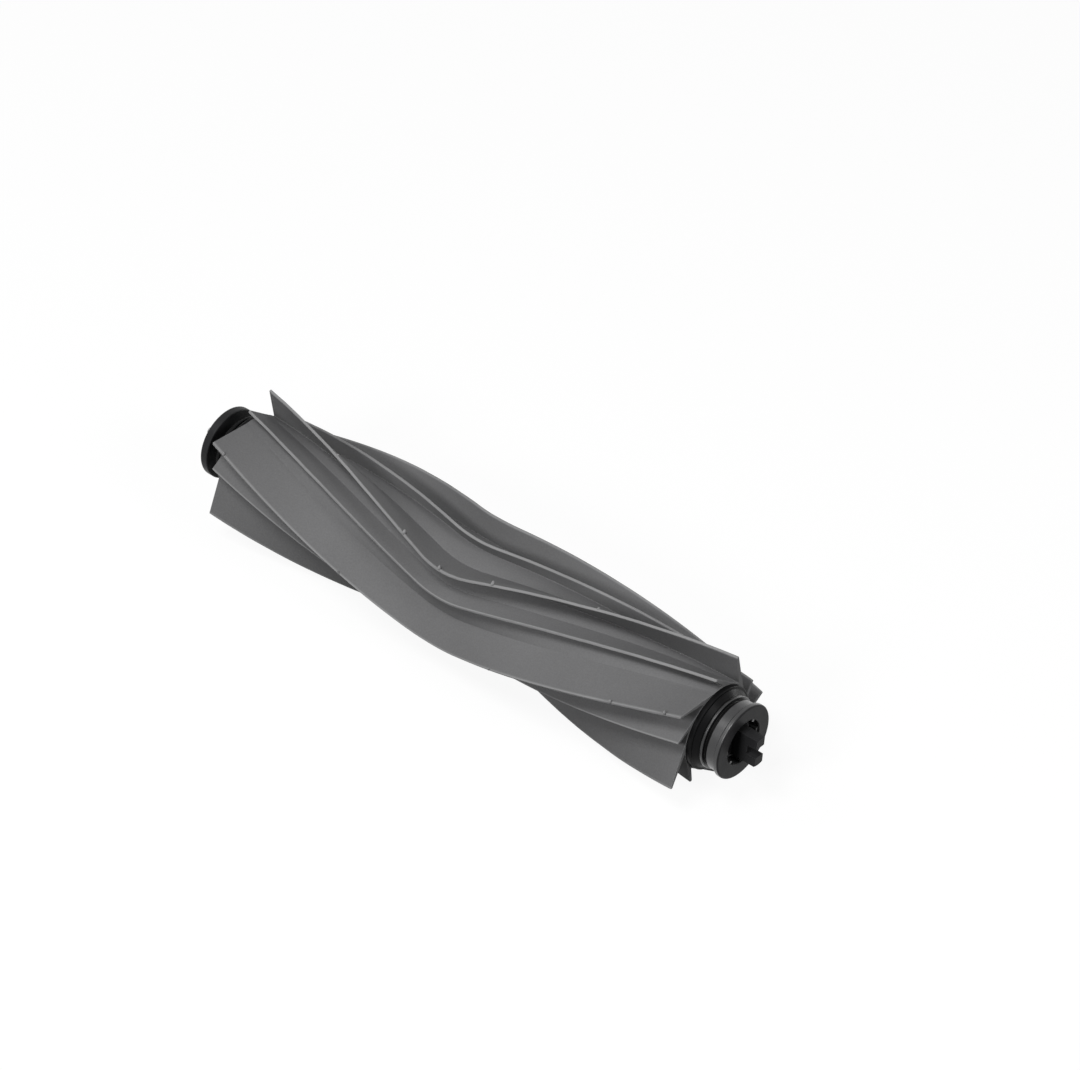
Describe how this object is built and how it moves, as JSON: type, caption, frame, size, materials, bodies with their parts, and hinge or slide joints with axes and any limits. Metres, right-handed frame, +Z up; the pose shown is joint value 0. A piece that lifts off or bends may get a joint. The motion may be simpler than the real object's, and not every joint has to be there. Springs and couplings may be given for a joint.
{
  "type": "robot vacuum roller brush",
  "caption": "Grey rubber floor-cleaning roller with leaning tall and short fins in a chevron, a flat notched drive dog in a ribbed cup at one end and a free-turning bearing cap at the other.",
  "frame": {"origin": "middle of the rubber sleeve, on the roller's axis", "axes": "+X along the roller's axis towards the drive end, +Z up as the roller lies in the picture, +Y away from the viewer"},
  "size_m": [0.1924, 0.0399, 0.0398],
  "materials": {
    "grey_rubber": "matte moulded",
    "core_plastic": "extruded",
    "black_plastic": "satin moulded",
    "pin_steel": "darkened, ground",
    "bearing_steel": "polished"
  },
  "bodies": {
    "end_cap": {"bearing_cap": "black_plastic", "axle_pin": "pin_steel", "bearing_inner_race": "bearing_steel"},
    "ball_set": {"bearing_cage": "bearing_steel", "bearing_balls": "bearing_steel"},
    "roller": {"brush_sleeve": "grey_rubber", "core_tube": "core_plastic", "drive_plug": "black_plastic", "drive_cup": "black_plastic", "bearing_plug": "black_plastic", "bearing_outer_race": "bearing_steel", "bearing_shields": "bearing_steel"}
  },
  "joints": [
    {"name": "roller_spin", "type": "hinge", "parent": "end_cap", "child": "roller", "pos_m": [0, 0, 0], "axis": [1, 0, 0], "continuous": true},
    {"name": "ball_set_spin", "type": "hinge", "parent": "end_cap", "child": "ball_set", "pos_m": [-0.0836, 0, 0], "axis": [1, 0, 0], "continuous": true}
  ],
  "couplings": [
    {"joint": "ball_set_spin", "follows": "roller_spin", "ratio": 0.6484}
  ]
}
